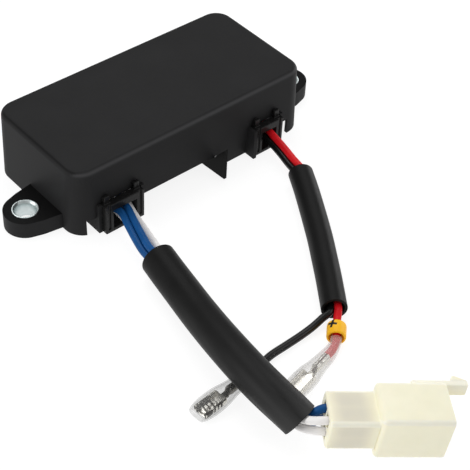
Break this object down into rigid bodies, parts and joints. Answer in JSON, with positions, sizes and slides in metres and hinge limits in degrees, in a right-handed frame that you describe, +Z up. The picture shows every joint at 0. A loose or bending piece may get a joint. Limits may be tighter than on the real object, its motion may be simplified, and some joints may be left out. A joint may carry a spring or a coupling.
{
  "type": "automatic voltage regulator",
  "caption": "Potted black plastic generator voltage regulator with two mounting ears, a sleeved harness to a nylon plug, and sleeved red and black brush leads with push-on terminals.",
  "frame": {"origin": "midway between the two mounting holes, on the mounting plane", "axes": "+X along the line of the mounting holes towards the brush lead exit's end, +Y away from the cable exits, +Z up from the mounting plane to the case's top"},
  "size_m": [0.1212, 0.1686, 0.0236],
  "materials": {
    "case_plastic": "satin black moulding",
    "bush_metal": "bright plated",
    "insert_plastic": "black moulding, slightly shiny",
    "potting_resin": "cast black",
    "board_laminate": "coated laminate",
    "sink_aluminium": "plain sheet",
    "component_black": "moulded epoxy",
    "capacitor_sleeve": "shrunk sleeve",
    "film_coating": "dipped epoxy",
    "resistor_cement": "cast cement",
    "varistor_coating": "dipped epoxy",
    "resistor_coating": "lacquered",
    "blue_insulation": "smooth extruded",
    "white_insulation": "smooth extruded",
    "red_insulation": "smooth extruded",
    "black_insulation": "smooth extruded",
    "sleeve_vinyl": "soft satin vinyl",
    "plug_nylon": "natural nylon, slightly clouded",
    "contact_metal": "stamped sheet",
    "terminal_metal": "tinned sheet",
    "clear_vinyl": "clear soft vinyl",
    "marker_yellow": "soft vinyl with a printed plus sign"
  },
  "bodies": {
    "root": {"case": "case_plastic", "bush_left": "bush_metal", "bush_right": "bush_metal", "cable_insert_left": "insert_plastic", "cable_insert_right": "insert_plastic", "resin": "potting_resin", "circuit_board": "board_laminate", "heat_sink": "sink_aluminium", "power_transistor": "component_black", "filter_capacitor": "capacitor_sleeve", "film_capacitor": "film_coating", "power_resistor": "resistor_cement", "rectifier_diode_1": "component_black", "rectifier_diode_2": "component_black", "rectifier_diode_3": "component_black", "rectifier_diode_4": "component_black", "varistor": "varistor_coating", "control_transistor": "component_black", "small_resistor_1": "resistor_coating", "small_resistor_2": "resistor_coating", "small_resistor_3": "resistor_coating", "blue_lead_left": "blue_insulation", "blue_lead_right": "blue_insulation", "white_lead_left": "white_insulation", "white_lead_right": "white_insulation", "red_lead": "red_insulation", "black_lead": "black_insulation", "harness_sleeve": "sleeve_vinyl", "brush_sleeve": "sleeve_vinyl", "plug_housing": "plug_nylon", "plug_contact_1": "contact_metal", "plug_contact_2": "contact_metal", "plug_contact_3": "contact_metal", "plug_contact_4": "contact_metal", "red_terminal": "terminal_metal", "black_terminal": "terminal_metal", "red_clear_sleeve": "clear_vinyl", "black_clear_sleeve": "clear_vinyl", "polarity_marker": "marker_yellow"}
  },
  "joints": []
}
